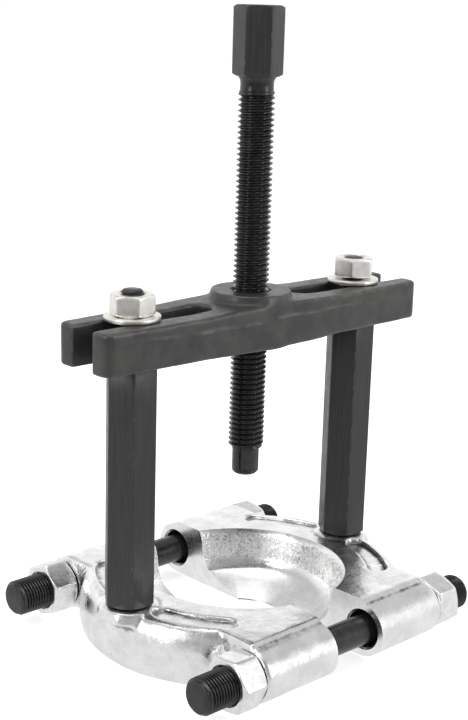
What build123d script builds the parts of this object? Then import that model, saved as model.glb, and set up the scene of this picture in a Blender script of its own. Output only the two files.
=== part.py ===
"""Bearing-separator gear puller: half jaws on studs, hexagon legs, a slotted bar and a forcing screw.

Frame: millimetres, +Z up, origin under the forcing screw's axis on the plane that the jaws rest on.
X runs along the two studs, from the left jaw to the right one, and Y from the front stud to the back one.
"""
from build123d import *
from math import sqrt
import os

# Forcing screw, 5/8 in - 11 thread. Thread flanks are left plain at their major diameter.
SCREW_R = 15.875 / 2
SCREW_TOP = 278.0
SCREW_THREAD_TOP = 242.0
SCREW_THREAD_END = 84.4
SCREW_NECK_R = 7.3
HEAD_AF = 19.05
HEAD_BOTTOM = 248.6
HEAD_TURN = 15.6
HEAD_CHAMFER = 0.9
SCREW_END_CHAMFER = 1.6
NECK_FLARE = 1.2

# Nose: a hardened point that turns freely in a socket in the end of the screw.
NOSE_R = 6.05
NOSE_END = 71.4
NOSE_POINT_R = 1.6
NOSE_STEM_R = 3.0
NOSE_STEM_LENGTH = 8.0
NOSE_CHAMFER = 1.2
SOCKET_DEPTH_CLEARANCE = 0.5

# Crossbar.
BAR_LEFT_END = -93.4
BAR_RIGHT_END = 95.8
BAR_TOP = 152.4
BAR_BOTTOM = 134.4
BAR_BELLY = 133.2
BAR_HALF_WIDTH_END = 16.6
BAR_HALF_WIDTH_MID = 18.6
BAR_EDGE = 1.6
BAR_CORNER_R = 3.0
SLOT_HALF_WIDTH = 6.3
SLOT_INNER_X = 25.0
BOSS_R = 18.4
BOSS_TOP = 156.9

# Studs, M16 x 1.5, smooth in the middle, and their nuts.
STUD_Y = 62.0
STUD_Z = 12.9
STUD_R = 8.0
STUD_LEFT_END = -83.5
STUD_RIGHT_END = 80.5
STUD_SHANK_R = 6.6
STUD_SHANK_HALF = 38.0
STUD_CHAMFER = 1.2
NUT_AF = 22.0
NUT_THICKNESS = 12.9
NUT_CHAMFER = 0.8
NUT_INNER_X = 55.6
FRONT_NUT_TURNS = (55.5, 20.0)
BACK_NUT_TURNS = (40.0, 10.0)

# Half jaws.
JAW_TOP = 27.2
PARTING_X = 14.3
EAR_OUTER_X = 55.5
EAR_R = 12.4
EAR_BORE_R = 8.5
EAR_TOP_Y = 63.6
WALL_R = 67.0
WALL_CENTRE_X = 9.7
WALL_TOP_R = 61.6
WALL_EDGE = 2.6
WALL_FOOT_EDGE = 3.2
WALL_BULGE_Z = 12.0
WEB_INNER_Y = 40.0
WEB_BOTTOM = 3.0
BOWL_RIM_R = 48.0
BOWL_WALL_R = 43.6
BOWL_FLOOR_R = 36.0
BOWL_FLOOR_Z = 6.6
BOWL_FILLET_R = 40.6
BOWL_FILLET_Z = 8.8
BOWL_WALL_Z = 13.0
BOWL_RIM_EDGE = 2.4
KNIFE_R = 21.4
KNIFE_THICKNESS = 0.7
POCKET_R = 61.5
POCKET_HALF_WIDTH = 3.6
POCKET_DEPTH = 1.4
POCKET_ANGLES = (14.5, 42.0)
POCKET_CENTRE_X = 2.0
PAD_R = 12.0
PAD_TOP = 28.2
PAD_ROOT = 4.0

# Legs: hexagon bar with an M10 spigot at each end, and the nut and washer on top.
LEG_X = 67.2
LEG_AF = 20.0
LEG_TOP = 134.2
LEG_TURN = -4.0
LEG_CHAMFER = 1.3
SPIGOT_R = 5.0
LEFT_SPIGOT_TOP = 165.3
RIGHT_SPIGOT_TOP = 164.6
SPIGOT_FOOT = 12.0
WASHER_R = 11.9
WASHER_THICKNESS = 2.0
LEG_NUT_AF = 17.0
LEG_NUT_HEIGHT = 8.8
LEFT_NUT_GAP = 0.05
RIGHT_NUT_GAP = 1.0
LEFT_NUT_TURN = 7.4
RIGHT_NUT_TURN = -22.0
SPIGOT_ROUND = 2.0
WASHER_BORE_CLEARANCE = 0.25
WASHER_ROUND = 0.4

RUNNING_CLEARANCE = 0.06
WASHER_GAP = 0.03
COS30 = sqrt(3) / 2
TAN30 = 1 / sqrt(3)
# How far a cutting tool runs past the face it cuts, and the reach of a half space.
OVERRUN = 1.0
REACH = 100.0


def hexagon(across_flats, turn):
    """A hexagon by its width across flats, one corner turned from +X."""
    return Rot(0, 0, turn) * RegularPolygon(across_flats / 2 / COS30, 6)


def upright(radius, bottom, top, x=0.0, y=0.0):
    """A cylinder along Z between two heights."""
    return Pos(x, y, bottom) * extrude(Circle(radius), top - bottom)


def along_x(radius, start, end, y, z=STUD_Z):
    """A cylinder along X between two places."""
    return Pos(start, y, z) * Rot(0, 90, 0) * extrude(Circle(radius), end - start)


def turned(points):
    """A solid of revolution about Z from (radius, height) points."""
    return revolve(Plane.XZ * make_face(Polyline(*points, close=True)), Axis.Z)


def corner_cone(radius, bottom, top, drop):
    """A cylinder whose rims are turned off at 30 degrees, to round a hexagon's corners."""
    inset = drop / TAN30
    return turned(
        [
            (0, bottom),
            (radius - inset, bottom),
            (radius, bottom + drop),
            (radius, top - drop),
            (radius - inset, top),
            (0, top),
        ]
    )


def bowl():
    """The recess that both jaws share: a conical floor up from the knife edge, then a steep wall."""
    profile = [
        (0, -OVERRUN),
        (KNIFE_R, -OVERRUN),
        (KNIFE_R, KNIFE_THICKNESS),
        (BOWL_FLOOR_R, BOWL_FLOOR_Z),
        (BOWL_FILLET_R, BOWL_FILLET_Z),
        (BOWL_WALL_R, BOWL_WALL_Z),
        (BOWL_RIM_R - BOWL_RIM_EDGE, JAW_TOP - BOWL_RIM_EDGE),
        (BOWL_RIM_R + OVERRUN, PAD_TOP + OVERRUN),
        (0, PAD_TOP + OVERRUN),
    ]
    return turned(profile)


def wall_body(side):
    """The jaw's bulging outer wall, turned about an axis of its own, on one side of the parting plane."""
    foot = (WALL_R - WALL_FOOT_EDGE, 0)
    bulge = (WALL_R, WALL_BULGE_Z)
    shoulder = (WALL_TOP_R + WALL_EDGE, JAW_TOP - WALL_EDGE)
    profile = Polyline((0, 0), foot)
    profile += ThreePointArc(foot, bulge, shoulder)
    profile += Polyline(shoulder, (WALL_TOP_R, JAW_TOP), (0, JAW_TOP), (0, 0))
    drum = Pos(side * WALL_CENTRE_X, 0, 0) * revolve(Plane.XZ * make_face(profile), Axis.Z)
    keep = Box(REACH, 2 * EAR_TOP_Y, JAW_TOP + 2 * OVERRUN)
    return drum & (Pos(side * (PARTING_X + REACH / 2), 0, JAW_TOP / 2) * keep)


def pocket(side, hand):
    """One of the two curved, round-ended pockets in a jaw's top face."""
    bottom = JAW_TOP - POCKET_DEPTH
    start, end = POCKET_ANGLES
    depth = POCKET_DEPTH + OVERRUN
    section = Pos(POCKET_R, bottom + depth / 2) * Rectangle(2 * POCKET_HALF_WIDTH, depth)
    groove = Rot(0, 0, start) * revolve(Plane.XZ * section, Axis.Z, revolution_arc=end - start)
    for angle in POCKET_ANGLES:
        groove += Rot(0, 0, angle) * upright(POCKET_HALF_WIDTH, bottom, bottom + depth, POCKET_R)
    if hand < 0:
        groove = mirror(groove, about=Plane.XZ)
    if side < 0:
        groove = mirror(groove, about=Plane.YZ)
    return Pos(side * POCKET_CENTRE_X, 0, 0) * groove


def jaw(side):
    """One half jaw: wall, two bored ears, the flat top and the pad that its leg stands on."""
    body = wall_body(side)
    web = Box(EAR_OUTER_X - PARTING_X, EAR_TOP_Y - WEB_INNER_Y, JAW_TOP - WEB_BOTTOM)
    web_x = side * (PARTING_X + EAR_OUTER_X) / 2
    web_y = (EAR_TOP_Y + WEB_INNER_Y) / 2
    start, end = sorted((side * PARTING_X, side * EAR_OUTER_X))
    for hand in (-1, 1):
        body += along_x(EAR_R, start, end, hand * STUD_Y)
        body += Pos(web_x, hand * web_y, (JAW_TOP + WEB_BOTTOM) / 2) * web
    body += upright(PAD_R, JAW_TOP - PAD_ROOT, PAD_TOP, side * LEG_X)
    body -= bowl()
    body -= Pos(side * (PARTING_X - REACH / 2), 0, STUD_Z) * Box(REACH, 2 * REACH, REACH)
    for hand in (-1, 1):
        body -= along_x(EAR_BORE_R, start - OVERRUN, end + OVERRUN, hand * STUD_Y)
        body -= pocket(side, hand)
    body -= upright(SPIGOT_R + RUNNING_CLEARANCE, SPIGOT_FOOT - OVERRUN, PAD_TOP + OVERRUN, side * LEG_X)
    return body


def stud(y):
    """One stud: threaded ends and a smooth middle."""
    body = along_x(STUD_SHANK_R, STUD_LEFT_END + STUD_CHAMFER, STUD_RIGHT_END - STUD_CHAMFER, y)
    for start, end in ((STUD_LEFT_END, -STUD_SHANK_HALF), (STUD_SHANK_HALF, STUD_RIGHT_END)):
        threaded = along_x(STUD_R, start, end, y)
        body += chamfer(threaded.edges().filter_by(GeomType.CIRCLE), length=STUD_CHAMFER)
    return body


def stud_nut(side, y, turn):
    """A jaw nut, chamfered on both faces, at the jaw's outer end."""
    nut = extrude(hexagon(NUT_AF, turn), NUT_THICKNESS)
    nut &= corner_cone(NUT_AF / 2 / COS30, 0, NUT_THICKNESS, NUT_CHAMFER)
    nut -= upright(STUD_R + RUNNING_CLEARANCE, -OVERRUN, NUT_THICKNESS + OVERRUN)
    # Local +X goes to world +Y and local +Z to world +X, so turn counts from +Y towards +Z.
    start = NUT_INNER_X if side > 0 else -NUT_INNER_X - NUT_THICKNESS
    facing = Plane(origin=(start, y, STUD_Z), x_dir=(0, 1, 0), z_dir=(1, 0, 0))
    return facing.location * nut


def crossbar():
    """The forged bar: a round boss in the middle and an open-ended slot each side of it."""
    outline = [
        (BAR_LEFT_END, -BAR_HALF_WIDTH_END),
        (-BOSS_R, -BAR_HALF_WIDTH_MID),
        (BOSS_R, -BAR_HALF_WIDTH_MID),
        (BAR_RIGHT_END, -BAR_HALF_WIDTH_END),
    ]
    outline += [(x, -y) for x, y in reversed(outline)]
    bar = Pos(0, 0, BAR_BOTTOM) * extrude(make_face(Polyline(*outline, close=True)), BAR_TOP - BAR_BOTTOM)
    for end in (0, -1):
        bar = fillet(bar.edges().filter_by(Axis.Z).group_by(Axis.X)[end], BAR_CORNER_R)
    bar = chamfer(bar.faces().sort_by(Axis.Z)[-1].edges(), length=BAR_EDGE)
    bar += upright(BOSS_R, BAR_BELLY, BOSS_TOP)
    slot_round_x = SLOT_INNER_X + SLOT_HALF_WIDTH
    slot_low = BAR_BELLY - OVERRUN
    slot_high = BOSS_TOP + OVERRUN
    for side, bar_end in ((-1, -BAR_LEFT_END), (1, BAR_RIGHT_END)):
        slot_end = bar_end + OVERRUN
        slot = Box(slot_end - slot_round_x, 2 * SLOT_HALF_WIDTH, slot_high - slot_low)
        bar -= Pos(side * (slot_end + slot_round_x) / 2, 0, (slot_high + slot_low) / 2) * slot
        bar -= upright(SLOT_HALF_WIDTH, slot_low, slot_high, side * slot_round_x)
    bar -= upright(SCREW_R + RUNNING_CLEARANCE, slot_low, slot_high)
    return bar


def forcing_screw():
    """The screw: hexagon head, short neck, threaded length and the socket for its nose."""
    head = Pos(0, 0, HEAD_BOTTOM) * extrude(hexagon(HEAD_AF, HEAD_TURN), SCREW_TOP - HEAD_BOTTOM)
    head &= corner_cone(HEAD_AF / 2 / COS30, HEAD_BOTTOM, SCREW_TOP, HEAD_CHAMFER)
    shaft = turned(
        [
            (0, SCREW_THREAD_END),
            (SCREW_R - SCREW_END_CHAMFER, SCREW_THREAD_END),
            (SCREW_R, SCREW_THREAD_END + SCREW_END_CHAMFER),
            (SCREW_R, SCREW_THREAD_TOP),
            (SCREW_NECK_R, SCREW_THREAD_TOP + SCREW_R - SCREW_NECK_R),
            (SCREW_NECK_R, HEAD_BOTTOM - NECK_FLARE),
            (SCREW_NECK_R + NECK_FLARE, HEAD_BOTTOM),
            (SCREW_NECK_R + NECK_FLARE, HEAD_BOTTOM + OVERRUN),
            (0, HEAD_BOTTOM + OVERRUN),
        ]
    )
    socket_top = SCREW_THREAD_END + NOSE_STEM_LENGTH + SOCKET_DEPTH_CLEARANCE
    socket = upright(NOSE_STEM_R + RUNNING_CLEARANCE, SCREW_THREAD_END - OVERRUN, socket_top)
    return head + shaft - socket


def screw_nose():
    """The nose, with a small point for the shaft's centre hole and a stem that turns in the screw."""
    shoulder = SCREW_THREAD_END - RUNNING_CLEARANCE
    return turned(
        [
            (0, NOSE_END),
            (NOSE_POINT_R, NOSE_END + NOSE_CHAMFER),
            (NOSE_R - NOSE_CHAMFER, NOSE_END + NOSE_CHAMFER),
            (NOSE_R, NOSE_END + 2 * NOSE_CHAMFER),
            (NOSE_R, shoulder),
            (NOSE_STEM_R, shoulder),
            (NOSE_STEM_R, shoulder + NOSE_STEM_LENGTH),
            (0, shoulder + NOSE_STEM_LENGTH),
        ]
    )


def leg(side, spigot_top):
    """A hexagon leg with its upper and lower threaded spigots."""
    x = side * LEG_X
    bar = Pos(x, 0, PAD_TOP) * extrude(hexagon(LEG_AF, LEG_TURN), LEG_TOP - PAD_TOP)
    bar &= Pos(x, 0, 0) * corner_cone(LEG_AF / 2 / COS30, PAD_TOP, LEG_TOP, LEG_CHAMFER)
    spigot = upright(SPIGOT_R, LEG_TOP - OVERRUN, spigot_top, x)
    spigot = fillet(spigot.edges().filter_by(GeomType.CIRCLE).sort_by(Axis.Z)[-1], SPIGOT_ROUND)
    return bar + spigot + upright(SPIGOT_R, SPIGOT_FOOT, PAD_TOP + OVERRUN, x)


def leg_washer(side):
    """A plain washer over a leg's spigot."""
    x = side * LEG_X
    bottom = BAR_TOP + WASHER_GAP
    ring = upright(WASHER_R, bottom, bottom + WASHER_THICKNESS, x)
    ring = fillet(ring.edges().filter_by(GeomType.CIRCLE), WASHER_ROUND)
    bore_top = bottom + WASHER_THICKNESS + OVERRUN
    return ring - upright(SPIGOT_R + WASHER_BORE_CLEARANCE, bottom - OVERRUN, bore_top, x)


def leg_nut(side, gap, turn):
    """A nut over a leg's washer."""
    x = side * LEG_X
    bottom = BAR_TOP + WASHER_GAP + WASHER_THICKNESS + gap
    nut = Pos(x, 0, bottom) * extrude(hexagon(LEG_NUT_AF, turn), LEG_NUT_HEIGHT)
    top = bottom + LEG_NUT_HEIGHT
    nut &= Pos(x, 0, 0) * corner_cone(LEG_NUT_AF / 2 / COS30, bottom, top, NUT_CHAMFER)
    return nut - upright(SPIGOT_R + RUNNING_CLEARANCE, bottom - OVERRUN, top + OVERRUN, x)


def build_parts():
    """Every separate piece, by its node's name."""
    parts = {
        "crossbar": crossbar(),
        "forcing_screw": forcing_screw(),
        "screw_nose": screw_nose(),
        "left_leg": leg(-1, LEFT_SPIGOT_TOP),
        "right_leg": leg(1, RIGHT_SPIGOT_TOP),
        "left_leg_nut": leg_nut(-1, LEFT_NUT_GAP, LEFT_NUT_TURN),
        "right_leg_nut": leg_nut(1, RIGHT_NUT_GAP, RIGHT_NUT_TURN),
    }
    for side, side_name in ((-1, "left"), (1, "right")):
        parts[f"{side_name}_jaw"] = jaw(side)
        parts[f"{side_name}_washer"] = leg_washer(side)
    for y, row, turns in ((-STUD_Y, "front", FRONT_NUT_TURNS), (STUD_Y, "back", BACK_NUT_TURNS)):
        parts[f"{row}_stud"] = stud(y)
        parts[f"{row}_left_nut"] = stud_nut(-1, y, turns[0])
        parts[f"{row}_right_nut"] = stud_nut(1, y, turns[1])
    return parts


os.makedirs("parts", exist_ok=True)
for name, solid in build_parts().items():
    solid.label = name
    export_step(solid, f"parts/{name}.step")
    box = solid.bounding_box()
    print(f"{name:15s} volume {solid.volume:9.0f} z {box.min.Z:7.2f} {box.max.Z:7.2f}")
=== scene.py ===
"""Looks for the bearing-separator gear puller: forgings, threads, nuts, finishes, studio and camera."""
import bpy
import math
import numpy as np
from mathutils import Matrix, Vector, noise


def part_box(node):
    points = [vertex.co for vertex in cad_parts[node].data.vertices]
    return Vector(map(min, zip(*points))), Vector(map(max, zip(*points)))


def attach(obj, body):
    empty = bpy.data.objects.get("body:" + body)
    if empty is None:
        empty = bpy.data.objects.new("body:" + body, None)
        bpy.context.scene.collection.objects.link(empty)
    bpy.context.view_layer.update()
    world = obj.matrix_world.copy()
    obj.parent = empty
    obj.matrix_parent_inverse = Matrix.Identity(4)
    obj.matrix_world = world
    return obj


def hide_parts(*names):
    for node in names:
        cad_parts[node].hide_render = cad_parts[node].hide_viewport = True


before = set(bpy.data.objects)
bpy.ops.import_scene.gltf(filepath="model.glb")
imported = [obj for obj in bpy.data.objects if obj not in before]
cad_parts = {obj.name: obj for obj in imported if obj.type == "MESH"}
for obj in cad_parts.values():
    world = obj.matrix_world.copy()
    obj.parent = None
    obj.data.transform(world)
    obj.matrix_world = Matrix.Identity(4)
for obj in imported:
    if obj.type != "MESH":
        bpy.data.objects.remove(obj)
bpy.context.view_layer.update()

MM = 0.001
COS30 = math.sqrt(3) / 2
TAN30 = math.tan(math.radians(30))

SCREW_PITCH = 25.4 / 11
STUD_PITCH = 1.5
LEG_PITCH = 1.5

# Sizes and places that several pieces share, in millimetres.
SCREW_RADIUS = 7.9375
SCREW_HEAD_START = 246.8
LEG_X = 67.2
EAR_Y = 62.0
EAR_Z = 12.9
PARTING_X = 14.3
BAR_BOTTOM = 134.35
BAR_TOP = 152.35
SLOT_HALF_WIDTH = 6.15
SKIN_GAP = 0.02

# Corners of the jaws' bowl as (radius, height): knife edge, top of the cone, foot and top of the steep wall.
EDGE = (21.4, 0.7)
CONE_TOP = (36.0, 6.6)
WALL_FOOT = (43.6, 13.0)
WALL_TOP = (45.9, 25.0)

# The shallow curved pockets in the jaws' tops follow an arc about (POCKET_X, 0).
POCKET_X = 2.0
POCKET_RADIUS = 61.2
POCKET_HALF_WIDTH = 4.5


# ---------------------------------------------------------------- frame

def box_mm(node):
    """A CAD node's lowest and highest corners, in millimetres."""
    low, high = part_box(node)
    return np.array(low) / MM, np.array(high) / MM


def centre_mm(node):
    """The middle of a CAD node's box, in millimetres."""
    low, high = box_mm(node)
    return (low + high) / 2


# ---------------------------------------------------------------- meshes

def add_mesh(name, points, faces):
    """A mesh object from points in millimetres."""
    mesh = bpy.data.meshes.new(name)
    mesh.from_pydata((np.asarray(points, float) * MM).tolist(), [], faces)
    mesh.update()
    obj = bpy.data.objects.new(name, mesh)
    bpy.context.scene.collection.objects.link(obj)
    return obj


def grid_mesh(name, rows, looped=False, transform=None):
    """A closed mesh from rings of points. Looped rings join up in a tube's way, others get end caps."""
    rows = np.asarray(rows, float)
    count, around = rows.shape[:2]
    points = rows.reshape(-1, 3)
    faces = []
    steps = count if looped else count - 1
    for i in range(steps):
        a = i * around
        b = ((i + 1) % count) * around
        for j in range(around):
            k = (j + 1) % around
            faces.append((a + j, a + k, b + k, b + j))
    if not looped:
        faces.append(tuple(range(around - 1, -1, -1)))
        faces.append(tuple(range((count - 1) * around, count * around)))
    if transform is not None:
        points = points @ np.array(transform.to_3x3()).T + np.array(transform.translation)
    return add_mesh(name, points, faces)


def ring_points(radii, angles, heights):
    """Points at the given radii and heights round Z. Each may be one number or an array by angle."""
    radii = np.broadcast_to(radii, angles.shape)
    heights = np.broadcast_to(heights, angles.shape)
    return np.stack([radii * np.cos(angles), radii * np.sin(angles), heights], -1)


def circle(around):
    """Evenly spaced angles."""
    return np.linspace(0, 2 * math.pi, around, endpoint=False)


def set_smooth(obj, sharp_angle=32):
    """Smooth shading with sharp edges where faces meet at more than the angle."""
    mesh = obj.data
    mesh.polygons.foreach_set("use_smooth", np.ones(len(mesh.polygons), bool))
    mesh.set_sharp_from_angle(angle=math.radians(sharp_angle))
    return obj


def set_value(obj, name, values):
    """Stores a number for each vertex, for the materials to read."""
    attribute = obj.data.attributes.new(name, "FLOAT", "POINT")
    attribute.data.foreach_set("value", np.asarray(values, np.float32))


def vertices_mm(obj):
    """A mesh's vertices in millimetres."""
    co = np.zeros(len(obj.data.vertices) * 3, np.float32)
    obj.data.vertices.foreach_get("co", co)
    return co.reshape(-1, 3).astype(float) / MM


def move_vertices(obj, points):
    """Puts a mesh's vertices at points in millimetres."""
    obj.data.vertices.foreach_set("co", (points * MM).astype(np.float32).ravel())
    obj.data.update()


def lathe(name, profile, around=96, transform=None, looped=False):
    """A solid of revolution about Z from (radius, height) points."""
    angles = circle(around)
    rows = [ring_points(max(r, 1e-3), angles, z) for r, z in profile]
    return grid_mesh(name, rows, looped, transform)


def along_x(x=0.0, y=0.0, z=0.0):
    """A transform that lays local Z along world X and local X along world Y."""
    turn = Matrix(((0, 0, 1), (1, 0, 0), (0, 1, 0))).to_4x4()
    return Matrix.Translation((x, y, z)) @ turn


def round_over(points, radius, steps=5):
    """The same open outline with each inner corner rounded."""
    out = [points[0]]
    for before, corner, after in zip(points, points[1:], points[2:]):
        a, c, b = (np.array(p, float) for p in (before, corner, after))
        to_a, to_b = a - c, b - c
        reach = min(radius, np.linalg.norm(to_a) * 0.45, np.linalg.norm(to_b) * 0.45)
        start = c + to_a / np.linalg.norm(to_a) * reach
        end = c + to_b / np.linalg.norm(to_b) * reach
        for t in np.linspace(0, 1, steps):
            out.append(tuple((1 - t) ** 2 * start + 2 * t * (1 - t) * c + t * t * end))
    out.append(points[-1])
    return out


# ---------------------------------------------------------------- threads and hexagons

def threaded_rod(name, outline, spans, pitch, depth, around=72, transform=None):
    """A rod about Z with right-hand threads cut over spans of its (radius, height) outline."""
    angles = circle(around)
    heights = {round(z, 4) for _, z in outline}
    for low, high in spans:
        heights |= {round(z, 4) for z in np.arange(low, high, pitch / 12)}
    heights = sorted(heights)
    outline_r = np.array([r for r, _ in outline])
    outline_z = np.array([z for _, z in outline])
    groove_edge, groove_floor = 0.86, 0.2
    rows = []
    for z in heights:
        surface = np.interp(z, outline_z, outline_r)
        cut = np.zeros(around)
        for low, high in spans:
            fade = np.clip(min(z - low, high - z) / pitch + 0.2, 0, 1)
            if fade > 0:
                phase = (z / pitch - angles / (2 * math.pi)) % 1.0
                crest = np.abs(2 * phase - 1)
                groove = np.clip((groove_edge - crest) / (groove_edge - groove_floor), 0, 1)
                cut = np.maximum(cut, groove * fade)
        rows.append(ring_points(surface - depth * cut, angles, z))
    first = ring_points(outline_r[0], angles, outline_z[0])
    last = ring_points(outline_r[-1], angles, outline_z[-1])
    return grid_mesh(name, [first] + rows[1:-1] + [last], False, transform)


def hexagon_angles():
    """Angles round a hexagon with a corner at 0, closely spaced at its corners."""
    half = [0, 0.6, 1.3, 2.3, 3.6, 5.5, 8.5, 13, 19, 25, 30]
    side = half + [60 - a for a in reversed(half[:-1])][:-1]
    return np.radians([60 * k + a for k in range(6) for a in side])


def hexagon_radii(across_flats, angles, rounding):
    """Distance to a hexagon's rim by angle, its corners eased by the rounding."""
    flat = across_flats / 2
    folded = (angles + math.pi / 6) % (math.pi / 3) - math.pi / 6
    rim = flat / np.cos(math.pi / 6 - np.abs(folded))
    power = 90 / max(rounding, 0.05)
    corner = flat / COS30 * (1 - 0.012 * rounding)
    return (rim ** -power + corner ** -power) ** (-1 / power)


def hexagon_prism(name, across_flats, bottom, top, turn, chamfer, bore=0.0, rounding=0.6, transform=None):
    """A hexagon prism, perhaps bored, whose ends are turned off at 30 degrees from a share of its flats."""
    angles = hexagon_angles()
    rim = hexagon_radii(across_flats, angles, rounding)
    flat = across_flats / 2
    start = flat * chamfer
    low = bottom + np.maximum(rim - start, 0) * TAN30
    high = top - np.maximum(rim - start, 0) * TAN30
    edge = 0.25
    rows = [
        (start - edge, bottom),
        (start, bottom + edge * 0.12),
        (rim - edge * 0.5, low - edge * 0.3 * TAN30),
        (rim, low + edge * 0.7),
    ]
    rows += [(rim, low + (high - low) * t) for t in (0.15, 0.5, 0.85)]
    rows += [
        (rim, high - edge * 0.7),
        (rim - edge * 0.5, high + edge * 0.3 * TAN30),
        (start, top - edge * 0.12),
        (start - edge, top),
    ]
    if bore:
        sink = 0.9
        lower_bore = [(bore, bottom + sink), (bore + sink, bottom)]
        upper_bore = [(bore + sink, top), (bore, top - sink)]
        rows = lower_bore + rows + upper_bore
    turned = angles + math.radians(turn)
    rings = [ring_points(r, turned, z) for r, z in rows]
    obj = grid_mesh(name, rings, bool(bore), transform)
    # Edge wear and painted highlight: a narrow band along each corner that the black finishes lighten.
    folded = np.degrees((angles + math.pi / 6) % (math.pi / 3) - math.pi / 6)
    wear_and_highlight_width = 0.55
    corner = np.clip(1 - np.abs(folded) * math.radians(1) * flat / wear_and_highlight_width, 0, 1)
    set_value(obj, "edge_wear_and_highlight", np.tile(corner, len(rings)))
    return obj


def clear_edge_wear_and_highlight(obj):
    """Gives a mesh no edge wear and no painted edge highlight, so that it can join one whose corners have
    both.
    """
    set_value(obj, "edge_wear_and_highlight", np.zeros(len(obj.data.vertices)))
    return obj


def join(name, *pieces):
    """One object from several."""
    for piece in bpy.context.selected_objects:
        piece.select_set(False)
    for piece in pieces:
        piece.select_set(True)
    bpy.context.view_layer.objects.active = pieces[0]
    if len(pieces) > 1:
        bpy.ops.object.join()
    pieces[0].name = name
    pieces[0].data.name = name
    return pieces[0]


def combine(obj, cutters, operation="DIFFERENCE"):
    """Applies booleans and deletes the cutters."""
    for cutter in cutters:
        modifier = obj.modifiers.new("cut", "BOOLEAN")
        modifier.operation = operation
        modifier.solver = "EXACT"
        modifier.object = cutter
        apply_modifiers(obj)
        bpy.data.objects.remove(cutter)
    return obj


def apply_modifiers(obj):
    """Replaces a mesh with its evaluated form."""
    bpy.context.view_layer.update()
    evaluated = obj.evaluated_get(bpy.context.evaluated_depsgraph_get())
    mesh = bpy.data.meshes.new_from_object(evaluated)
    old = obj.data
    obj.modifiers.clear()
    obj.data = mesh
    mesh.name = obj.name
    bpy.data.meshes.remove(old)


# ---------------------------------------------------------------- forgings

def remesh(obj, voxel):
    """Fuses a mesh's overlapping solids into one skin of even small faces."""
    modifier = obj.modifiers.new("fuse", "REMESH")
    modifier.mode = "VOXEL"
    modifier.voxel_size = voxel * MM
    apply_modifiers(obj)


def neighbours(obj):
    """The two ends of every edge, and how many edges meet at each vertex."""
    edges = np.zeros(len(obj.data.edges) * 2, np.int32)
    obj.data.edges.foreach_get("vertices", edges)
    edges = edges.reshape(-1, 2)
    count = np.bincount(edges.ravel(), minlength=len(obj.data.vertices))
    return edges, np.maximum(count, 1)


def averages(points, edges, count):
    """Each vertex's neighbours' mean place."""
    total = np.zeros_like(points)
    for axis in range(3):
        total[:, axis] = np.bincount(edges[:, 0], points[edges[:, 1], axis], len(points))
        total[:, axis] += np.bincount(edges[:, 1], points[edges[:, 0], axis], len(points))
    return total / count[:, None]


def soften(obj, rounds):
    """Eases corners by moving each vertex half of the way to its neighbours' mean."""
    points = vertices_mm(obj)
    edges, count = neighbours(obj)
    for _ in range(rounds):
        points += 0.5 * (averages(points, edges, count) - points)
    move_vertices(obj, points)


def normals(obj):
    """Vertex normals."""
    obj.data.update()
    out = np.zeros(len(obj.data.vertices) * 3, np.float32)
    obj.data.vertex_normals.foreach_get("vector", out)
    return out.reshape(-1, 3).astype(float)


def waviness(points, size, seed):
    """Smooth noise from -1 to 1 at features of a size in millimetres."""
    shift = Vector((seed * 7.3, seed * 3.1, seed * 5.7))
    return np.array([noise.noise(Vector(p) / size + shift) for p in points])


def dent(obj, amounts):
    """Moves vertices along their normals by amounts in millimetres."""
    points = vertices_mm(obj)
    move_vertices(obj, points + normals(obj) * np.asarray(amounts)[:, None])


def ridge_value(obj, name="edge_wear_and_highlight", scale=0.05, way=1):
    """Stores how far each vertex stands out of its neighbours, 0 to 1. With way -1, how deep it lies."""
    points = vertices_mm(obj)
    edges, count = neighbours(obj)
    out = way * ((points - averages(points, edges, count)) * normals(obj)).sum(1)
    out = np.clip(out / scale, 0, 1)
    for _ in range(2):
        spread = np.bincount(edges[:, 0], out[edges[:, 1]], len(out))
        spread += np.bincount(edges[:, 1], out[edges[:, 0]], len(out))
        out = 0.5 * out + 0.5 * spread / count
    set_value(obj, name, out)


def block(name, low, high):
    """A plain box used only inside a boolean or a voxel blank."""
    (x0, y0, z0), (x1, y1, z1) = low, high
    points = [(x, y, z) for x in (x0, x1) for y in (y0, y1) for z in (z0, z1)]
    faces = [(0, 1, 3, 2), (4, 6, 7, 5), (0, 4, 5, 1), (2, 3, 7, 6), (0, 2, 6, 4), (1, 5, 7, 3)]
    return add_mesh(name, points, faces)


def prism(name, outline, bottom, top):
    """An upright prism on an outline of (x, y) points, counterclockwise."""
    n = len(outline)
    points = [(x, y, bottom) for x, y in outline] + [(x, y, top) for x, y in outline]
    faces = [tuple(range(n - 1, -1, -1)), tuple(range(n, 2 * n))]
    faces += [(i, (i + 1) % n, n + (i + 1) % n, n + i) for i in range(n)]
    return add_mesh(name, points, faces)


# ---------------------------------------------------------------- forcing screw and nose

def build_screw():
    """The forcing screw: thread, neck, flare and hexagon head."""
    low, high = box_mm("forcing_screw")
    end = low[2]
    thread_top = 241.6
    outline = [
        (6.2, end), (6.5, end + 0.05), (SCREW_RADIUS, end + 1.5), (SCREW_RADIUS, thread_top), (7.7, 242.3),
        (7.3, 242.7), (7.22, 244.5), (7.25, 246.2), (7.5, 247.3), (8.1, 248.2), (8.5, 248.8), (8.5, 249.6),
    ]
    rod = clear_edge_wear_and_highlight(threaded_rod("rod", outline, [(end + 0.1, thread_top + 0.2)], SCREW_PITCH, 1.36))
    head = hexagon_prism("head", 19.05, 248.7, high[2], 15.6, 0.985, rounding=0.8)
    return set_smooth(join("screw_look", rod, head), 34)


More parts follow.
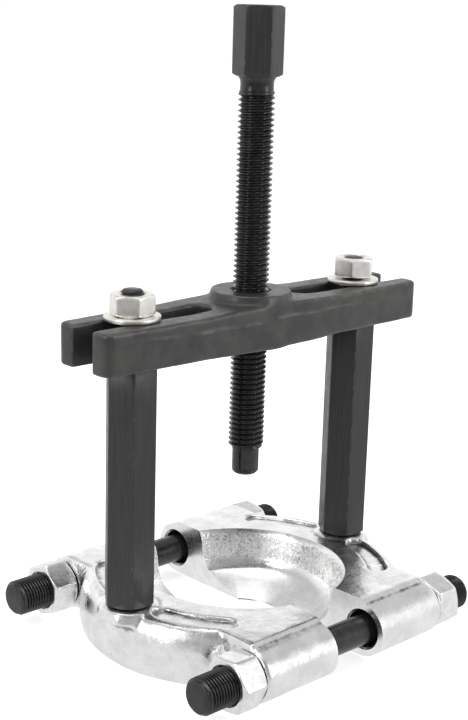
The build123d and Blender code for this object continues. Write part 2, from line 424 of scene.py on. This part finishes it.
def build_nose():
    """The plain nose with its small point."""
    low, _ = box_mm("screw_nose")
    z = low[2]
    point = [(0.2, z + 0.06), (0.6, z + 0.12), (1.5, z + 1.0), (1.8, z + 1.15)]
    shoulder = [(4.6, z + 1.2), (4.9, z + 1.22), (5.2, z + 1.5), (5.85, z + 2.2), (6.02, z + 2.55)]
    shank = [(6.03, z + 6), (6.03, 85.7), (5.9, 85.83), (0.3, 85.85)]
    profile = point + shoulder + shank
    return set_smooth(lathe("nose_look", profile, 72), 40)


# ---------------------------------------------------------------- legs, washers and leg nuts

def build_leg(side_name, turn):
    """One hexagon leg with its spigots."""
    x = centre_mm(f"{side_name}_leg")[0]
    low, high = box_mm(f"{side_name}_leg")
    place = Matrix.Translation((x, 0, 0))
    bar = hexagon_prism("bar", 20.0, 28.2, 134.18, turn, 0.935, rounding=0.75, transform=place)
    top = high[2]
    outline = [(4.9, 133.2), (4.95, 134.3), (4.97, top - 3.0), (4.95, top - 1.9), (4.62, top - 1.0),
               (3.9, top - 0.35), (2.6, top - 0.06), (1.2, top - 0.01)]
    spigot = threaded_rod("spigot", outline, [(136.5, top - 0.9)], LEG_PITCH, 0.88, 48, place)
    foot = threaded_rod("foot", [(4.5, low[2] + 0.02), (4.95, low[2] + 0.6), (4.95, 29.0)],
                        [(low[2] + 0.2, 27.4)], LEG_PITCH, 0.88, 36, place)
    leg = join(f"{side_name}_leg_look", bar, clear_edge_wear_and_highlight(spigot), clear_edge_wear_and_highlight(foot))
    return set_smooth(leg, 34)


def build_washer(side_name):
    """A flat washer with soft, slightly uneven rims."""
    low, high = box_mm(f"{side_name}_washer")
    x = centre_mm(f"{side_name}_washer")[0]
    bottom, top = low[2], high[2]
    r = (high[0] - low[0]) / 2 - 0.01
    section = [
        (5.3, bottom + 0.25), (5.55, bottom), (r - 0.45, bottom), (r - 0.12, bottom + 0.1),
        (r, bottom + 0.42), (r, top - 0.55), (r - 0.16, top - 0.16), (r - 0.6, top), (5.6, top),
        (5.35, top - 0.2),
    ]
    return set_smooth(lathe(f"{side_name}_washer_look", section, 96, Matrix.Translation((x, 0, 0)), True), 50)


def build_leg_nut(side_name, turn):
    """A nut on a leg's upper spigot."""
    low, high = box_mm(f"{side_name}_leg_nut")
    place = Matrix.Translation((centre_mm(f"{side_name}_leg_nut")[0], 0, 0))
    nut = hexagon_prism(f"{side_name}_leg_nut_look", 17.0, low[2], high[2], turn, 0.985, bore=5.07,
                        rounding=0.9, transform=place)
    return set_smooth(nut, 30)


# ---------------------------------------------------------------- studs and their nuts

def build_stud(row):
    """A stud: threads at both ends, a slightly waisted plain middle."""
    low, high = box_mm(f"{row}_stud")
    _, y, z = centre_mm(f"{row}_stud")
    start, end, r = low[0] + 0.01, high[0] - 0.01, 7.99
    left_end = [(r - 1.25, start), (r - 1.1, start + 0.1), (r - 0.1, start + 1.2), (r, start + 1.5)]
    waist = [(r, -39.0), (r - 0.3, -38.4), (6.75, -37.0), (6.6, -36.2),
             (6.6, 36.2), (6.75, 37.0), (r - 0.3, 38.4), (r, 39.0)]
    right_end = [(r, end - 1.5), (r - 0.1, end - 1.2), (r - 1.1, end - 0.1), (r - 1.25, end)]
    spans = [(start + 0.1, -38.2), (38.2, end - 0.1)]
    rod = threaded_rod(f"{row}_stud_look", left_end + waist + right_end, spans, STUD_PITCH, 0.9, 60,
                       along_x(0, y, z))
    return set_smooth(rod, 34)


def build_stud_nut(row, side_name, turn):
    """A jaw nut, chamfered on both faces."""
    node = f"{row}_{side_name}_nut"
    low, high = box_mm(node)
    _, y, z = centre_mm(node)
    nut = hexagon_prism(f"{node}_look", 22.0, 0.0, high[0] - low[0], turn, 0.965, bore=8.07,
                        rounding=1.0, transform=along_x(low[0], y, z))
    return set_smooth(nut, 30)


# ---------------------------------------------------------------- crossbar

def counterclockwise(outline):
    """The outline in counterclockwise order."""
    area = sum(x0 * y1 - x1 * y0 for (x0, y0), (x1, y1) in zip(outline, outline[1:] + outline[:1]))
    return outline if area > 0 else list(reversed(outline))


def bar_side(reach):
    """Half of the bar's outline from above, from its middle out to a round-cornered end at x = reach."""
    end, mid, corner = 16.4, 18.4, 4.0
    edge = [(x, mid + (end - mid) * (x / reach) ** 1.4) for x in np.arange(0, reach - corner, 2.0)]
    for angle in np.linspace(90, 0, 7):
        turn = math.radians(angle)
        edge.append((reach - corner + corner * math.cos(turn), end - corner + corner * math.sin(turn)))
    return edge + [(x, -y) for x, y in reversed(edge)]


def bar_blank(low, high):
    """The bar and its boss as overlapping solids in one object."""
    right = bar_side(high[0] - 0.1)
    left = [(-x, y) for x, y in bar_side(-low[0] - 0.1)]
    blank = prism("blank", counterclockwise(right + left[::-1][1:-1]), BAR_BOTTOM, BAR_TOP)
    boss = lathe("boss", [
        (0.1, low[2] + 0.15), (17.0, low[2] + 0.15), (18.2, 134.6), (18.6, 143.0), (20.6, 150.8),
        (19.6, 152.2), (18.3, 153.4), (17.9, 155.0), (17.6, high[2] - 0.5), (17.0, high[2] - 0.05),
        (0.1, high[2] - 0.05),
    ], 96)
    keep = block("keep", (-98, -18.35, 130), (98, 18.35, 160))
    boss = combine(boss, [keep], "INTERSECT")
    return join("crossbar_look", blank, boss)


def slot_cutter(side):
    """One of the bar's slots: round at its inner end, open at its outer one."""
    inner, outer = 31.3, 99
    turns = [math.radians(a) for a in np.linspace(0, 180, 25)]
    outline = [(side * (inner - SLOT_HALF_WIDTH * math.sin(a)), SLOT_HALF_WIDTH * math.cos(a)) for a in turns]
    outline += [(side * outer, -SLOT_HALF_WIDTH), (side * outer, SLOT_HALF_WIDTH)]
    return prism("slot", counterclockwise(outline), 130, 160)


def forge_bar(bar):
    """Waves, small dents and the wandering ridge where the forging dies met, along both long faces."""
    points = vertices_mm(bar)
    normal = normals(bar)
    x, y, z = points.T
    side_face = np.clip((np.abs(normal[:, 1]) - 0.7) * 5, 0, 1) * (np.abs(y) > 12)
    line = 146.6 + 0.5 * np.sin(x / 17) + 0.35 * np.sin(x / 6.1 + 1)
    ridge = np.exp(-((z - line) / 0.7) ** 2) * side_face * np.clip(1.3 - np.abs(x) / 90, 0, 1)
    ridge *= np.clip(0.55 + 0.8 * waviness(points * (1, 0, 0), 9.0, 5), 0.1, 1.2)
    wave = 0.13 * waviness(points, 21.0, 1) + 0.055 * waviness(points, 5.5, 2)
    wave += 0.02 * waviness(points, 1.9, 3)
    dent(bar, wave - 0.1 + 0.6 * ridge)


def settle_bar(bar, low, high):
    """Swells the bar's middle, holds it inside its box, and keeps the washers' seats flat."""
    points = vertices_mm(bar)
    middle, swell, half_length, seat = 143.4, 0.9, 40.5, 14
    bow = np.clip(1 - (points[:, 0] / half_length) ** 2, 0, 1)
    away = points[:, 2] - middle
    points[:, 2] += bow * np.where(away > 0, swell, -swell) * np.clip(np.abs(away) / 9, 0, 1)
    points = np.clip(points, low + SKIN_GAP, high - SKIN_GAP)
    near = np.hypot(points[:, 0] - np.sign(points[:, 0]) * LEG_X, points[:, 1]) < seat
    flat_top = near & (points[:, 2] > 150)
    points[flat_top, 2] = np.minimum(points[flat_top, 2], BAR_TOP + 0.01)
    move_vertices(bar, points)


def build_crossbar():
    """The forged bar: its blank is fused and softened, then the bore is cut."""
    low, high = box_mm("crossbar")
    voxel = 0.62
    bar = bar_blank(low, high)
    remesh(bar, voxel)
    combine(bar, [slot_cutter(side) for side in (-1, 1)])
    remesh(bar, voxel)
    soften(bar, 11)
    forge_bar(bar)
    settle_bar(bar, low, high)
    bore = lathe("bore", [
        (0.1, 131), (9.6, 131), (9.2, low[2] + 0.3), (8.02, 134.9), (8.02, 155.4), (9.0, high[2] - 0.3),
        (9.6, high[2] + 1.2), (0.1, high[2] + 1.2),
    ], 96)
    combine(bar, [bore])
    # Edge wear and painted highlight: how far each vertex stands out, which the black finish lightens.
    ridge_value(bar, scale=0.085)
    return set_smooth(bar, 40)


# ---------------------------------------------------------------- jaws

def sorted_corners(a, b):
    """Lowest and highest corners of the box between two points."""
    return tuple(map(min, zip(a, b))), tuple(map(max, zip(a, b)))


def bowl_profile():
    """The machined recess both jaws share, from the knife edge up to the rounded rim."""
    bottom, top = -2.0, 31.0
    corners = [(EDGE[0], bottom), EDGE, CONE_TOP, (40.6, 8.8), WALL_FOOT, WALL_TOP, (48.4, 27.9), (50.0, top)]
    return [(0.1, bottom)] + round_over(corners, 2.2, 6) + [(0.1, top)]


def jaw_blank(side_name, side, ear_start, ear_end):
    """The half drum, the two ears with their webs, and the leg's pad, overlapping in one object."""
    inner = side * (PARTING_X - 6)
    drum = lathe("drum", [
        (0.1, 0.2), (62.6, 0.2), (64.6, 1.2), (65.8, 3.2), (66.6, 7.0), (66.85, 12.0), (66.3, 17.5),
        (65.2, 22.0), (64.0, 24.4), (62.4, 26.2), (60.4, 26.95), (0.1, 26.95),
    ], 160, Matrix.Translation((side * 9.7, 0, 0)))
    keep = block("keep", *sorted_corners((inner, -62.6, -1), (side * 90, 62.6, 30)))
    pieces = [combine(drum, [keep], "INTERSECT")]
    length = ear_end - ear_start
    for hand in (-1, 1):
        section = [(0.1, 0), (11.6, 0), (12.3, 0.7), (12.3, length - 0.7), (11.6, length), (0.1, length)]
        pieces.append(lathe("ear", section, 96, along_x(ear_start, hand * EAR_Y, EAR_Z)))
        web = sorted_corners((inner, hand * 40.0, 3.0), (side * 54.6, hand * 62.9, 26.95))
        pieces.append(block("web", *web))
    pad = [(0.1, 22), (14.5, 22), (13.2, 26.4), (12.2, 27.6), (11.4, 28.1), (0.1, 28.1)]
    pieces.append(lathe("pad", pad, 64, Matrix.Translation((side * LEG_X, 0, 0))))
    return join(f"{side_name}_jaw_look", *pieces)


def pocket_cap(direction, half, z, first, last):
    """One round end of a pocket's outline."""
    centre = (POCKET_X + POCKET_RADIUS * math.cos(direction), POCKET_RADIUS * math.sin(direction))
    turns = [direction + a for a in np.linspace(first, last, 13)]
    return [(centre[0] + half * math.cos(a), centre[1] + half * math.sin(a), z) for a in turns]


def pocket_side(angles, radius, z):
    """One long side of a pocket's outline."""
    return [(POCKET_X + radius * math.cos(a), radius * math.sin(a), z) for a in angles]


def pocket_ring(extra, z):
    """A pocket's outline at a height, widened all round by an extra."""
    angles = [math.radians(a) for a in np.linspace(14.5, 42.0, 24)]
    between = angles[1:-1]
    half = POCKET_HALF_WIDTH + extra
    return (pocket_cap(angles[0], half, z, -math.pi, 0)
            + pocket_side(between, POCKET_RADIUS + POCKET_HALF_WIDTH + extra, z)
            + pocket_cap(angles[-1], half, z, 0, math.pi)
            + pocket_side(between[::-1], POCKET_RADIUS - POCKET_HALF_WIDTH - extra, z))


def pocket_cutter(side, hand):
    """A curved, round-ended pocket's shape, with sloping walls."""
    top, depth = 27.2, 2.0
    levels = ((-1.4, top - depth), (-0.5, top - depth + 0.35), (0.3, top), (1.2, top + 1.5))
    rows = np.array([pocket_ring(extra, z) for extra, z in levels])
    if side * hand < 0:
        rows = rows[:, ::-1]
    rows[:, :, 0] *= side
    rows[:, :, 1] *= hand
    return grid_mesh("pocket", rows)


def ear_bore_cutter(side, hand):
    """The bore through an ear, flared at the parting face and countersunk at the outer end."""
    inner = [(0.1, -3), (10.3, -3), (9.3, 0.1), (8.55, 0.9)]
    outer = [(8.55, 37.6), (9.4, 39.3), (11.0, 40.9), (13.5, 43.4), (0.1, 43.4)]
    profile = inner + outer
    length = 41.2
    if side < 0:
        profile = [(r, length - z) for r, z in reversed(profile)]
    start = min(side * PARTING_X, side * (PARTING_X + length))
    return lathe("bore", profile, 96, along_x(start, hand * EAR_Y, EAR_Z))


def build_jaw(side_name):
    """One half jaw: the forging, then its machined faces."""
    side = -1 if side_name == "left" else 1
    low, high = box_mm(f"{side_name}_jaw")
    ear_start, ear_end = sorted((side * (PARTING_X - 6), side * 55.2))
    skin = jaw_blank(side_name, side, ear_start, ear_end)
    remesh(skin, 0.6)
    soften(skin, 10)
    combine(skin, [pocket_cutter(side, hand) for hand in (-1, 1)])
    remesh(skin, 0.55)
    soften(skin, 5)
    points = vertices_mm(skin)
    wave = 0.16 * waviness(points, 17.0, 11 + side) + 0.08 * waviness(points, 6.5, 12)
    wave += 0.035 * waviness(points, 2.2, 13)
    dent(skin, wave - 0.12)
    points = vertices_mm(skin)
    reach = max(abs(low[0]), abs(high[0])) - SKIN_GAP
    points[:, 0] = side * np.minimum(side * points[:, 0], reach)
    points[:, 1] = np.clip(points[:, 1], low[1] + SKIN_GAP, high[1] - SKIN_GAP)
    points[:, 2] = np.minimum(points[:, 2], high[2] - SKIN_GAP)
    move_vertices(skin, points)
    # Painted shade: how deep each vertex lies, which darkens the plate in creases and hollows.
    ridge_value(skin, "crease_shade", 0.016, -1)
    parting = sorted_corners((side * (PARTING_X - 40), -90, -10), (side * PARTING_X, 90, 40))
    cutters = [lathe("bowl", bowl_profile(), 256), block("parting", *parting),
               block("floor", (-120, -120, -10), (120, 120, 0.012))]
    cutters += [ear_bore_cutter(side, hand) for hand in (-1, 1)]
    combine(skin, cutters)
    return set_smooth(skin, 38)


# ---------------------------------------------------------------- materials

class Paint:
    """A procedural material under construction, with short names for the nodes that it uses."""

    def __init__(self, name):
        self.material = bpy.data.materials.new(name)
        self.material.use_nodes = True
        self.tree = self.material.node_tree
        self.shader = self.tree.nodes["Principled BSDF"]
        self.coords = self.tree.nodes.new("ShaderNodeTexCoord").outputs["Object"]

    def node(self, kind, **values):
        """A new node with some of its settings."""
        made = self.tree.nodes.new(kind)
        for key, value in values.items():
            setattr(made, key, value)
        return made

    def link(self, source, target):
        """Joins an output to an input."""
        self.tree.links.new(source, target)

    def grain(self, size, detail=3.0, stretch=(1, 1, 1), roughness=0.55):
        """Noise whose features are about size millimetres."""
        scaled = self.node("ShaderNodeMapping")
        scaled.inputs["Scale"].default_value = stretch
        self.link(self.coords, scaled.inputs["Vector"])
        made = self.node("ShaderNodeTexNoise")
        made.inputs["Scale"].default_value = 1 / (size * MM)
        made.inputs["Detail"].default_value = detail
        made.inputs["Roughness"].default_value = roughness
        self.link(scaled.outputs["Vector"], made.inputs["Vector"])
        return made.outputs["Fac"]

    def remap(self, value, low, high, to_low, to_high):
        """A value moved linearly from one range to another."""
        made = self.node("ShaderNodeMapRange")
        for key, number in (("From Min", low), ("From Max", high), ("To Min", to_low), ("To Max", to_high)):
            made.inputs[key].default_value = number
        self.link(value, made.inputs["Value"])
        return made.outputs["Result"]

    def blend(self, factor, first, second):
        """A mix of two colours, each a tuple or a socket."""
        made = self.node("ShaderNodeMix", data_type="RGBA")
        self.link(factor, made.inputs["Factor"])
        for socket, colour in ((made.inputs[6], first), (made.inputs[7], second)):
            if isinstance(colour, tuple):
                socket.default_value = (*colour, 1)
            else:
                self.link(colour, socket)
        return made.outputs[2]

    def sum(self, first, second, operation="ADD"):
        """Two values added, or put through another operation. Each is a number or a socket."""
        made = self.node("ShaderNodeMath", operation=operation)
        for socket, value in ((made.inputs[0], first), (made.inputs[1], second)):
            if isinstance(value, (int, float)):
                socket.default_value = value
            else:
                self.link(value, socket)
        return made.outputs[0]

    def relief(self, height, distance, strength=1.0, under=None):
        """A bump of a height in millimetres."""
        made = self.node("ShaderNodeBump")
        made.inputs["Distance"].default_value = distance * MM
        made.inputs["Strength"].default_value = strength
        self.link(height, made.inputs["Height"])
        if under is not None:
            self.link(under, made.inputs["Normal"])
        return made.outputs["Normal"]

    def attribute(self, name):
        """A number that the mesh holds for each vertex."""
        return self.node("ShaderNodeAttribute", attribute_name=name).outputs["Fac"]

    def finish(self, colour, roughness, normal, metallic=1.0, specular=0.5):
        """Links the shader up and gives the finished material."""
        self.link(colour, self.shader.inputs["Base Color"])
        self.link(roughness, self.shader.inputs["Roughness"])
        self.link(normal, self.shader.inputs["Normal"])
        self.shader.inputs["Metallic"].default_value = metallic
        self.shader.inputs["Specular IOR Level"].default_value = specular
        return self.material


def forged_plate():
    """Bright zinc over a forging: a lumpy skin with dull and clear patches, and painted shade darkening its
    creases.
    """
    p = Paint("forged_plate")
    patches = p.remap(p.grain(9, 4), 0.42, 0.62, 0, 1)
    colour = p.blend(patches, (0.84, 0.84, 0.835), (0.95, 0.95, 0.945))
    colour = p.blend(p.remap(p.grain(1.3, 3), 0.28, 0.38, 0.4, 0), colour, (0.45, 0.45, 0.45))
    # Painted shade: the deepest creases are darkened towards a dark grey.
    crease_shade = p.sum(p.attribute("crease_shade"), p.remap(p.grain(5, 3), 0.35, 0.6, 0.35, 1.1), "MULTIPLY")
    colour = p.blend(p.remap(crease_shade, 0.15, 0.8, 0, 0.8), colour, (0.16, 0.16, 0.16))
    rough = p.sum(p.remap(p.grain(6, 4), 0.35, 0.65, 0.20, 0.30),
                  p.remap(p.grain(0.8, 2), 0.3, 0.7, -0.02, 0.04))
    coarse = p.relief(p.grain(4.5, 2), 0.14)
    normal = p.relief(p.grain(0.9, 3), 0.035, 0.8, coarse)
    return p.finish(colour, rough, normal)


def blasted_plate():
    """The steep bowl wall: plated over a coarse, shot-blasted surface."""
    p = Paint("blasted_plate")
    pits = p.sum(p.remap(p.grain(1.2, 4, roughness=0.65), 0.36, 0.54, 1, 0),
                 p.remap(p.grain(14, 2), 0.4, 0.62, 0.15, 1), "MULTIPLY")
    colour = p.blend(pits, (0.92, 0.92, 0.915), (0.30, 0.30, 0.30))
    rough = p.remap(p.grain(1.6, 3), 0.3, 0.7, 0.2, 0.36)
    normal = p.relief(p.grain(1.3, 4, roughness=0.65), 0.22)
    return p.finish(colour, rough, normal)


def machined_plate():
    """Turned or milled faces under bright zinc."""
    p = Paint("machined_plate")
    colour = p.blend(p.remap(p.grain(7, 3), 0.4, 0.62, 0, 1), (0.86, 0.86, 0.855), (0.95, 0.95, 0.945))
    rough = p.remap(p.grain(4, 4), 0.35, 0.65, 0.2, 0.3)
    normal = p.relief(p.grain(1.2, 2), 0.012, 1.0)
    return p.finish(colour, rough, normal)


def nut_metal(name, light, dark, rough_low, rough_high):
    """Plated nuts and washers: light cutting marks and a slightly cloudy finish."""
    p = Paint(name)
    colour = p.blend(p.remap(p.grain(3.5, 4), 0.38, 0.62, 0, 1), dark, light)
    rough = p.remap(p.grain(2.2, 4), 0.35, 0.65, rough_low, rough_high)
    normal = p.relief(p.grain(0.7, 3), 0.018)
    return p.finish(colour, rough, normal)


def forged_black():
    """Satin black over a forging, with the coat rubbed thin on sharp edges and a painted highlight along
    them.
    """
    p = Paint("forged_black")
    # Edge wear and painted highlight: sharp edges are lightened towards grey.
    rubbed_and_highlit = p.sum(p.attribute("edge_wear_and_highlight"), p.remap(p.grain(5, 4), 0.35, 0.6, 0.5, 1.2), "MULTIPLY")
    base = p.blend(p.remap(p.grain(11, 4), 0.38, 0.64, 0, 1), (0.050, 0.050, 0.0487), (0.078, 0.077, 0.0745))
    colour = p.blend(p.remap(rubbed_and_highlit, 0.2, 1.0, 0, 0.6), base, (0.26, 0.26, 0.25))
    rough = p.sum(p.remap(p.grain(3, 4), 0.35, 0.65, 0.32, 0.42),
                  p.remap(p.grain(0.7, 2), 0.3, 0.7, -0.04, 0.05))
    coarse = p.relief(p.grain(2.6, 3), 0.07)
    normal = p.relief(p.grain(0.6, 3), 0.035, 0.9, coarse)
    return p.finish(colour, rough, normal, 0.35)


def drawn_black():
    """Black oxide on drawn hexagon bar, with fine marks along its length."""
    p = Paint("drawn_black")
    streaks = p.grain(0.7, 3, (1, 1, 0.03))
    # Edge wear and painted highlight: the hexagon's corners are lightened towards grey.
    rubbed_and_highlit = p.sum(p.attribute("edge_wear_and_highlight"), p.remap(p.grain(4, 4), 0.42, 0.62, 0, 1.1), "MULTIPLY")
    base = p.blend(p.remap(streaks, 0.35, 0.65, 0, 1), (0.036, 0.036, 0.0365), (0.052, 0.052, 0.052))
    colour = p.blend(p.remap(rubbed_and_highlit, 0.5, 1.0, 0, 0.4), base, (0.20, 0.20, 0.195))
    rough = p.sum(p.remap(p.grain(6, 4), 0.35, 0.65, 0.30, 0.42), p.remap(streaks, 0.3, 0.7, -0.03, 0.04))
    normal = p.relief(p.grain(0.5, 2), 0.012, 0.8, p.relief(streaks, 0.02))
    return p.finish(colour, rough, normal, 0.3)


def oiled_black():
    """Oiled black oxide on turned and threaded steel."""
    p = Paint("oiled_black")
    # Edge wear and painted highlight: marked edges are lightened towards pale grey.
    rubbed_and_highlit = p.sum(p.attribute("edge_wear_and_highlight"), p.remap(p.grain(3, 4), 0.36, 0.58, 0, 1.2), "MULTIPLY")
    base = p.blend(p.remap(p.grain(5, 4), 0.38, 0.62, 0, 1), (0.014, 0.014, 0.0145), (0.030, 0.0295, 0.029))
    colour = p.blend(p.remap(rubbed_and_highlit, 0.3, 0.9, 0, 0.8), base, (0.45, 0.45, 0.44))
    rough = p.remap(p.grain(2.5, 4), 0.35, 0.65, 0.15, 0.28)
    normal = p.relief(p.grain(0.6, 2), 0.01)
    return p.finish(colour, rough, normal, 0.3, 0.7)


# ---------------------------------------------------------------- assembly

def put(piece, body, node, slot, *materials):
    """Hangs a finished piece on its body in place of its CAD node."""
    piece.data.materials.clear()
    for material in materials:
        piece.data.materials.append(material)
    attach(piece, body)
    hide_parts(node)
    return piece


def mark_jaw_faces(jaw, side):
    """Gives a jaw's machined faces material 1 and its bowl wall material 2."""
    mesh = jaw.data
    count = len(mesh.polygons)
    centres = np.zeros(count * 3, np.float32)
    mesh.polygons.foreach_get("center", centres)
    centres = centres.reshape(-1, 3).astype(float) / MM
    x, y, z = centres.T
    radius = np.hypot(x, y)
    cone = EDGE[1] + (radius - EDGE[0]) * (CONE_TOP[1] - EDGE[1]) / (CONE_TOP[0] - EDGE[0])
    wall = WALL_FOOT[0] + (z - WALL_FOOT[1]) * (WALL_TOP[0] - WALL_FOOT[0]) / (WALL_TOP[1] - WALL_FOOT[1])
    bore = np.hypot(np.abs(y) - EAR_Y, z - EAR_Z)
    index = np.zeros(count, np.int32)
    index[np.abs(x - side * PARTING_X) < 0.03] = 1
    index[(radius < 40.5) & (np.abs(z - cone) < 1.3)] = 1
    index[bore < 8.7] = 1
    index[z < 0.05] = 1
    index[(np.abs(radius - wall) < 0.35) & (z > 12.0) & (z < 25.6)] = 2
    mesh.polygons.foreach_set("material_index", index)


forged = forged_plate()
machined = machined_plate()
blasted = blasted_plate()
bright_nut = nut_metal("bright_nut", (0.94, 0.94, 0.935), (0.82, 0.82, 0.82), 0.18, 0.28)
pale_zinc = nut_metal("pale_zinc", (0.95, 0.93, 0.89), (0.82, 0.80, 0.76), 0.3, 0.42)
black_bar = forged_black()
black_leg = drawn_black()
black_oxide = oiled_black()

for side_name, side in (("left", -1), ("right", 1)):
    half = f"{side_name}_half"
    jaw = build_jaw(side_name)
    put(jaw, half, f"{side_name}_jaw", "bright_plate", forged, machined, blasted)
    mark_jaw_faces(jaw, side)
    put(build_leg(side_name, -4.0), half, f"{side_name}_leg", "black_leg", black_leg)
    put(build_washer(side_name), half, f"{side_name}_washer", "pale_zinc", pale_zinc)
put(build_leg_nut("left", 7.4), "left_leg_nut", "left_leg_nut", "pale_zinc", pale_zinc)
put(build_leg_nut("right", -22.0), "right_leg_nut", "right_leg_nut", "pale_zinc", pale_zinc)
for row, turns in (("front", (55.5, 20.0)), ("back", (40.0, 10.0))):
    put(build_stud(row), "bar_and_studs", f"{row}_stud", "black_oxide", black_oxide)
    for side_name, turn in zip(("left", "right"), turns):
        node = f"{row}_{side_name}_nut"
        put(build_stud_nut(row, side_name, turn), node, node, "bright_nut", bright_nut)
put(build_crossbar(), "bar_and_studs", "crossbar", "forged_black", black_bar)
screw = build_screw()
put(screw, "forcing_screw", "forcing_screw", "black_oxide", black_oxide, black_leg)
for face in screw.data.polygons:
    face.material_index = int(face.center.z > SCREW_HEAD_START * MM)
put(build_nose(), "screw_nose", "screw_nose", "black_oxide", black_oxide)


# ---------------------------------------------------------------- studio and camera

def soft_light(name, place, target, size, power):
    """A large rectangular light facing a point. Metres and watts."""
    data = bpy.data.lights.new(name, "AREA")
    data.shape = "RECTANGLE"
    data.size, data.size_y = size
    data.energy = power
    light = bpy.data.objects.new(name, data)
    bpy.context.scene.collection.objects.link(light)
    aim = Vector(target) - Vector(place)
    light.location = place
    light.rotation_euler = aim.to_track_quat("-Z", "Y").to_euler()


# The level direction that the camera looks in.
AWAY = (0.695, 0.719, 0.0)


def along(tree, vector, direction):
    """How far a vector reaches in a direction."""
    dot = tree.nodes.new("ShaderNodeVectorMath")
    dot.operation = "DOT_PRODUCT"
    dot.inputs[1].default_value = direction
    tree.links.new(vector, dot.inputs[0])
    return dot.outputs["Value"]


def stops(tree, value, low, high, levels):
    """A grey scale by value, from (place from 0 to 1, brightness) pairs."""
    scaled = tree.nodes.new("ShaderNodeMapRange")
    scaled.inputs["From Min"].default_value = low
    scaled.inputs["From Max"].default_value = high
    tree.links.new(value, scaled.inputs["Value"])
    ramp = tree.nodes.new("ShaderNodeValToRGB")
    elements = ramp.color_ramp.elements
    for element, (place, level) in zip(elements, (levels[0], levels[-1])):
        element.position, element.color = place, (level, level, level, 1)
    for place, level in levels[1:-1]:
        elements.new(place).color = (level, level, level, 1)
    tree.links.new(scaled.outputs["Result"], ramp.inputs["Fac"])
    return ramp.outputs["Color"]


def seen_or_lit(tree, seen, lit, target):
    """Shows one shader to the camera and lights the object with another."""
    choice = tree.nodes.new("ShaderNodeMixShader")
    tree.links.new(tree.nodes.new("ShaderNodeLightPath").outputs["Is Camera Ray"], choice.inputs["Fac"])
    tree.links.new(lit.outputs[0], choice.inputs[1])
    tree.links.new(seen.outputs[0], choice.inputs[2])
    tree.links.new(choice.outputs[0], target)


def paper():
    """The floor: white to look at, and darker towards the viewer where it lights the object."""
    material = bpy.data.materials.new("studio_paper")
    material.use_nodes = True
    tree = material.node_tree
    white = tree.nodes["Principled BSDF"]
    white.inputs["Base Color"].default_value = (0.9, 0.9, 0.9, 1)
    white.inputs["Roughness"].default_value = 0.9
    white.inputs["Specular IOR Level"].default_value = 0.0
    white.inputs["Emission Color"].default_value = (1, 1, 1, 1)
    white.inputs["Emission Strength"].default_value = 0.64
    place = tree.nodes.new("ShaderNodeTexCoord").outputs["Object"]
    lit = tree.nodes.new("ShaderNodeEmission")
    levels = ((0.0, 0.25), (0.45, 0.6), (0.75, 0.85), (1.0, 0.95))
    glow = stops(tree, along(tree, place, AWAY), -0.9, 0.3, levels)
    tree.links.new(glow, lit.inputs["Color"])
    seen_or_lit(tree, white, lit, tree.nodes["Material Output"].inputs["Surface"])
    return material


def studio():
    """A white floor and sky, with soft lights at the left, right and top."""
    half, level = 4000, -0.02
    corners = [(x * half, y * half, level) for x, y in ((-1, -1), (1, -1), (1, 1), (-1, 1))]
    floor = add_mesh("studio_floor", corners, [(0, 1, 2, 3)])
    floor.data.materials.append(paper())
    world = bpy.data.worlds.new("studio_sky")
    bpy.context.scene.world = world
    world.use_nodes = True
    tree = world.node_tree
    sky = tree.nodes["Background"]
    direction = tree.nodes.new("ShaderNodeTexCoord").outputs["Generated"]
    around_levels = ((0.0, 0.42), (0.3, 0.72), (0.6, 1.1), (1.0, 1.15))
    over_levels = ((0.0, 0.85), (0.35, 1.0), (0.62, 0.5), (1.0, 0.6))
    around = stops(tree, along(tree, direction, AWAY), -1, 1, around_levels)
    over = stops(tree, along(tree, direction, (0, 0, 1)), 0, 1, over_levels)
    both = tree.nodes.new("ShaderNodeMix")
    both.data_type, both.blend_type = "RGBA", "MULTIPLY"
    both.inputs["Factor"].default_value = 1.0
    tree.links.new(around, both.inputs[6])
    tree.links.new(over, both.inputs[7])
    tree.links.new(both.outputs[2], sky.inputs["Color"])
    sky.inputs["Strength"].default_value = 1.0
    seen = tree.nodes.new("ShaderNodeBackground")
    seen.inputs["Strength"].default_value = 1.02
    seen.inputs["Color"].default_value = (1, 1, 1, 1)
    seen_or_lit(tree, seen, sky, tree.nodes["World Output"].inputs["Surface"])
    soft_light("left_light", (-1.5, 0.1, 0.75), (0, 0, 0.12), (0.5, 1.2), 8)
    soft_light("right_light", (0.7, -1.5, 0.7), (0, 0, 0.12), (0.4, 1.2), 7)
    soft_light("top_light", (-0.1, 0.2, 1.7), (0, 0, 0.1), (1.1, 1.1), 5)


def camera():
    """A long lens at front left, a little above the bar."""
    place = (-0.4342, -0.4409, 0.2835)
    azimuth, elevation, roll = (math.radians(a) for a in (-43.97, 14.41, 1.68))
    back = Vector((math.sin(azimuth) * math.cos(elevation), -math.cos(azimuth) * math.cos(elevation),
                   math.sin(elevation)))
    right = Vector((math.cos(azimuth), math.sin(azimuth), 0))
    up = back.cross(right)
    across = right * math.cos(roll) + up * math.sin(roll)
    upward = up * math.cos(roll) - right * math.sin(roll)
    data = bpy.data.cameras.new("main_camera")
    data.sensor_width = 36.0
    data.lens = 71.93
    data.clip_start = 0.01
    obj = bpy.data.objects.new("main_camera", data)
    bpy.context.scene.collection.objects.link(obj)
    turn = Matrix((across, upward, back)).transposed().to_4x4()
    obj.matrix_world = Matrix.Translation(place) @ turn
    bpy.context.scene.camera = obj


studio()
camera()
bpy.context.scene.view_settings.view_transform = "Standard"
